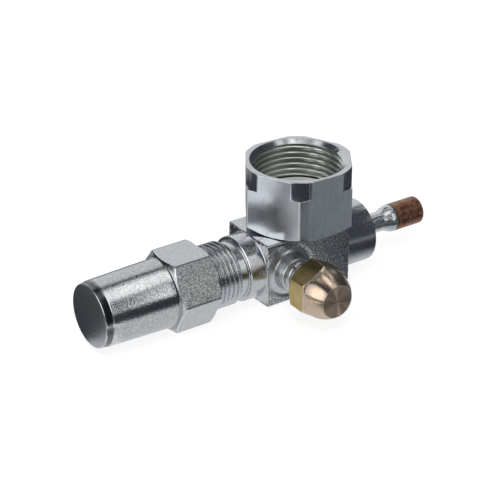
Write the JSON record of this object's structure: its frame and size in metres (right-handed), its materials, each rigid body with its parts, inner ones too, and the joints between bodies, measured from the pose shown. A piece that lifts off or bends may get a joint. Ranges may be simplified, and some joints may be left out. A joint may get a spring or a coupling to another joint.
{
  "type": "refrigerant service valve",
  "caption": "Packed stem service valve: zinc plated steel body with a captive coupling nut, a covered valve stem, a brass capped flare service port and a solder tube.",
  "frame": {"origin": "centre of the face seal's outer face inside the coupling nut, on the nut's axis", "axes": "+Z out of the coupling nut's mouth; the stem axis lies 21.05 mm below the origin along X, with the stem cap towards -X and the solder tube towards +X; the service port points to -Y"},
  "size_m": [0.1371, 0.0571, 0.0472],
  "materials": {
    "zinc_forging": "forged and turned steel, bright zinc plated",
    "zinc_nut": "milled and turned steel, bright zinc plated",
    "zinc_cap": "turned steel, bright zinc plated",
    "zinc_spigot": "turned steel, zinc plated",
    "zinc_plug": "turned steel, zinc plated",
    "steel_tube": "zinc plated steel tube, copper coated at its end",
    "braze": "dull filler metal under the plating",
    "stem_steel": "ground steel",
    "gland_steel": "turned steel",
    "disc_bronze": "turned bronze",
    "packing": "pressed graphite",
    "copper": "annealed copper",
    "seal_metal": "smooth soft metal seal",
    "cap_brass": "turned brass"
  },
  "bodies": {
    "valve": {"valve_body": "zinc_forging", "seat_plug": "zinc_plug", "seat_plug_braze": "braze", "solder_tube": "steel_tube", "solder_tube_braze": "braze", "union_spigot": "zinc_spigot", "union_spigot_braze": "braze", "face_seal": "seal_metal", "packing_washer": "stem_steel", "packing_ring_1": "packing", "packing_ring_2": "packing", "packing_ring_3": "packing", "gland_nut": "gland_steel"},
    "nut": {"coupling_nut": "zinc_nut"},
    "disc": {"stem_disc": "disc_bronze"},
    "stem": {"valve_stem": "stem_steel", "disc_retainer": "stem_steel"},
    "cap_seal": {"stem_cap_seal": "copper"},
    "cap": {"stem_cap": "zinc_cap"},
    "flare_seal": {"flare_cap_seal": "copper"},
    "flare_cap": {"flare_cap": "cap_brass"}
  },
  "joints": [
    {"name": "nut_swivel", "type": "hinge", "parent": "valve", "child": "nut", "pos_m": [0, 0, 0], "axis": [0, 0, 1], "continuous": true},
    {"name": "stem_travel", "type": "slide", "parent": "valve", "child": "disc", "axis": [1, 0, 0], "range_m": [0, 0.012]},
    {"name": "stem_turn", "type": "hinge", "parent": "disc", "child": "stem", "pos_m": [0, 0, -0.02105], "axis": [1, 0, 0], "range_deg": [0, 2880]},
    {"name": "cap_travel", "type": "slide", "parent": "valve", "child": "cap_seal", "axis": [-1, 0, 0], "range_m": [0, 0.00907]},
    {"name": "cap_turn", "type": "hinge", "parent": "cap_seal", "child": "cap", "pos_m": [-0.052, 0, -0.02105], "axis": [-1, 0, 0], "range_deg": [0, 1800]},
    {"name": "flare_cap_travel", "type": "slide", "parent": "valve", "child": "flare_seal", "axis": [0, -1, 0], "range_m": [0, 0.00635]},
    {"name": "flare_cap_turn", "type": "hinge", "parent": "flare_seal", "child": "flare_cap", "pos_m": [-0.0114, -0.03, -0.02105], "axis": [0, -1, 0], "range_deg": [0, 1800]}
  ],
  "couplings": [
    {"joint": "stem_turn", "follows": "stem_travel", "rad_per_m": 4188.7},
    {"joint": "cap_turn", "follows": "cap_travel", "rad_per_m": 3463.7},
    {"joint": "flare_cap_turn", "follows": "flare_cap_travel", "rad_per_m": 4947.3}
  ]
}
